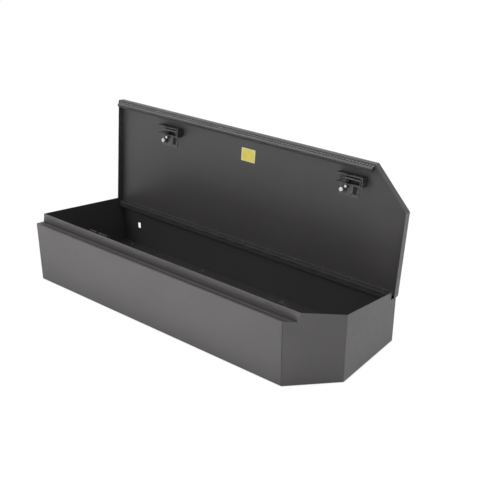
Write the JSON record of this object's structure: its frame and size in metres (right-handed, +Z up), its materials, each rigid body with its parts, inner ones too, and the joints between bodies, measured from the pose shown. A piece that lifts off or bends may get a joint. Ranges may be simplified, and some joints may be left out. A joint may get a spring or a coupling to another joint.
{
  "type": "underseat lockbox",
  "caption": "Long low sheet-steel storage box with one cut-off front corner and a rear-hinged lid, standing open, closed by key locks that slide hooked bolts under strikers.",
  "frame": {"origin": "middle of the floor's outline, on its underside", "axes": "+X along the box towards its cut-off end, +Y from the front to the hinge side, +Z up"},
  "size_m": [1.314, 0.5011, 0.6121],
  "materials": {
    "powder_coat": "satin",
    "black_steel": "satin",
    "bright_zinc": "satin",
    "seal_rubber": "matt",
    "yellow_film": "matt"
  },
  "bodies": {
    "box": {"floor_panel": "powder_coat", "front_panel": "powder_coat", "front_riser": "powder_coat", "back_panel": "powder_coat", "left_end_panel": "powder_coat", "right_end_panel": "powder_coat", "hinge_rail": "powder_coat", "hinge_body_leaf": "black_steel", "hinge_body_rivets": "black_steel", "hinge_pin": "bright_zinc", "left_striker": "black_steel", "right_striker": "black_steel"},
    "lid": {"lid_panel": "powder_coat", "hinge_lid_leaf": "black_steel", "hinge_lid_rivets": "black_steel", "front_edge_seal": "seal_rubber", "blank_label": "yellow_film", "left_latch_housing": "black_steel", "left_lock_plate": "powder_coat", "left_latch_rivets": "black_steel", "left_lock_body": "bright_zinc", "left_lock_nut": "bright_zinc", "right_latch_housing": "black_steel", "right_lock_plate": "powder_coat", "right_latch_rivets": "black_steel", "right_lock_body": "bright_zinc", "right_lock_nut": "bright_zinc"},
    "left_key": {"left_key_plug": "bright_zinc", "left_lock_crank": "black_steel", "left_crank_pin": "bright_zinc", "left_crank_screw": "bright_zinc"},
    "left_bolt": {"left_latch_slide": "black_steel", "left_latch_pins": "black_steel", "left_pin_clips": "black_steel"},
    "right_key": {"right_key_plug": "bright_zinc", "right_lock_crank": "black_steel", "right_crank_pin": "bright_zinc", "right_crank_screw": "bright_zinc"},
    "right_bolt": {"right_latch_slide": "black_steel", "right_latch_pins": "black_steel", "right_pin_clips": "black_steel"}
  },
  "joints": [
    {"name": "lid_hinge", "type": "hinge", "parent": "box", "child": "lid", "pos_m": [0, 0.2054, 0.18306], "axis": [1, 0, 0], "range_deg": [0, 86.6]},
    {"name": "left_key_turn", "type": "hinge", "parent": "lid", "child": "left_key", "pos_m": [-0.418, 0.26163, 0.49164], "axis": [0, -0.9951, 0.0993], "range_deg": [0, 90]},
    {"name": "left_bolt_slide", "type": "slide", "parent": "lid", "child": "left_bolt", "axis": [1, 0, 0], "range_m": [-0.03111, 0]},
    {"name": "right_key_turn", "type": "hinge", "parent": "lid", "child": "right_key", "pos_m": [0.402, 0.26163, 0.49164], "axis": [0, -0.9951, 0.0993], "range_deg": [0, 90]},
    {"name": "right_bolt_slide", "type": "slide", "parent": "lid", "child": "right_bolt", "axis": [1, 0, 0], "range_m": [-0.03111, 0]}
  ],
  "couplings": [
    {"joint": "left_key_turn", "follows": "left_bolt_slide", "rad_per_m": -50.487},
    {"joint": "right_key_turn", "follows": "right_bolt_slide", "rad_per_m": -50.487}
  ]
}
